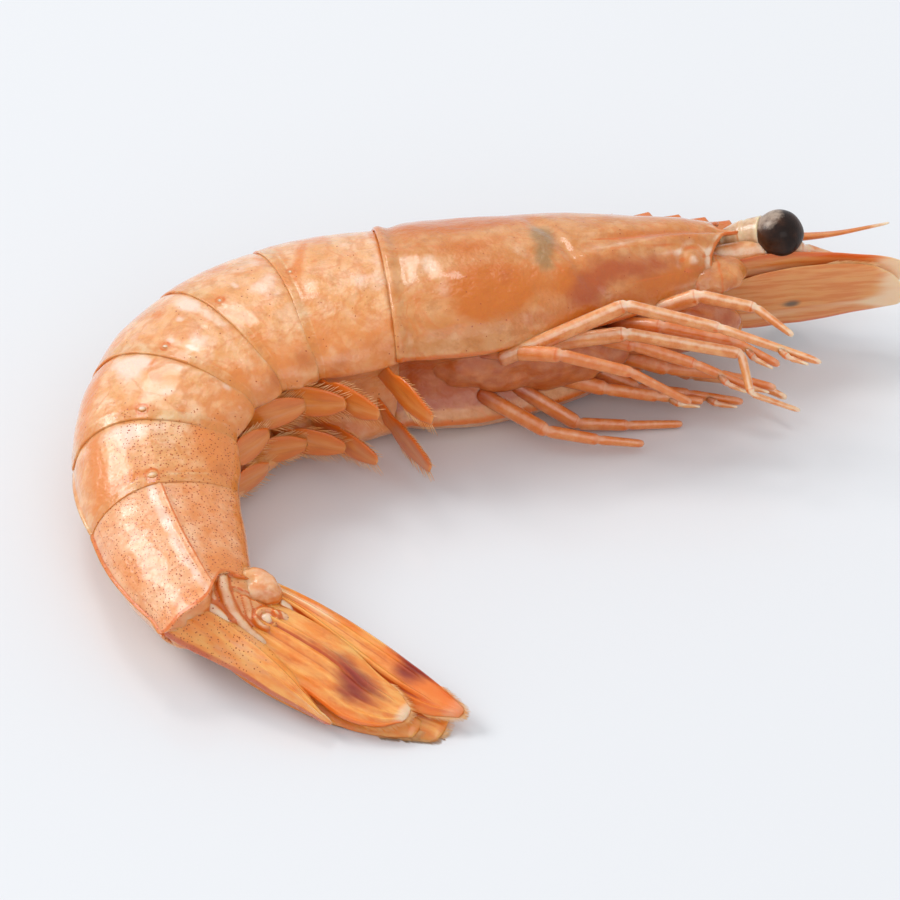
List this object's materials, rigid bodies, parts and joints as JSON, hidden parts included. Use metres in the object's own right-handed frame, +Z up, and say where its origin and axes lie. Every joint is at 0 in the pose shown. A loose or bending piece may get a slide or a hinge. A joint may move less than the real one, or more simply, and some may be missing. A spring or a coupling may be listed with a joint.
{
  "type": "prawn",
  "caption": "Raw whole prawn with its head, legs and tail fin, lying on one side and curled into a C.",
  "frame": {"origin": "middle of the object's footprint, on the surface it lies on", "axes": "+Z up, +X the way the head points, +Y the side that the back faces at the head"},
  "size_m": [0.083, 0.0678, 0.0177],
  "materials": {
    "shell": "wet translucent shell",
    "limb": "wet translucent limb shell",
    "fin": "wet coloured fin blade",
    "eye": "wet dark cornea",
    "eyestalk": "pale wet skin"
  },
  "bodies": {
    "root": {"carapace": "shell", "abdomen_plate_1": "shell", "abdomen_plate_2": "shell", "abdomen_plate_3": "shell", "abdomen_plate_4": "shell", "abdomen_plate_5": "shell", "abdomen_plate_6": "shell", "head_base": "limb", "eye_right": "eye", "eye_left": "eye", "eyestalk_right": "eyestalk", "eyestalk_left": "eyestalk", "antenna_base_right": "limb", "antenna_base_left": "limb", "antenna_scale_right": "fin", "antenna_scale_left": "fin", "antennule_right": "limb", "antennule_left": "limb", "maxilliped_right": "limb", "maxilliped_left": "limb", "walking_leg_1_right": "limb", "walking_leg_2_right": "limb", "walking_leg_3_right": "limb", "walking_leg_4_right": "limb", "walking_leg_5_right": "limb", "walking_leg_1_left": "limb", "walking_leg_2_left": "limb", "walking_leg_3_left": "limb", "walking_leg_4_left": "limb", "walking_leg_5_left": "limb", "swimmeret_1_right": "limb", "swimmeret_2_right": "limb", "swimmeret_3_right": "limb", "swimmeret_4_right": "limb", "swimmeret_5_right": "limb", "swimmeret_1_left": "limb", "swimmeret_2_left": "limb", "swimmeret_3_left": "limb", "swimmeret_4_left": "limb", "swimmeret_5_left": "limb", "telson": "fin", "uropod_base_right": "limb", "uropod_base_left": "limb", "outer_uropod_right": "fin", "inner_uropod_right": "fin", "inner_uropod_left": "fin", "outer_uropod_left": "fin"}
  },
  "joints": []
}
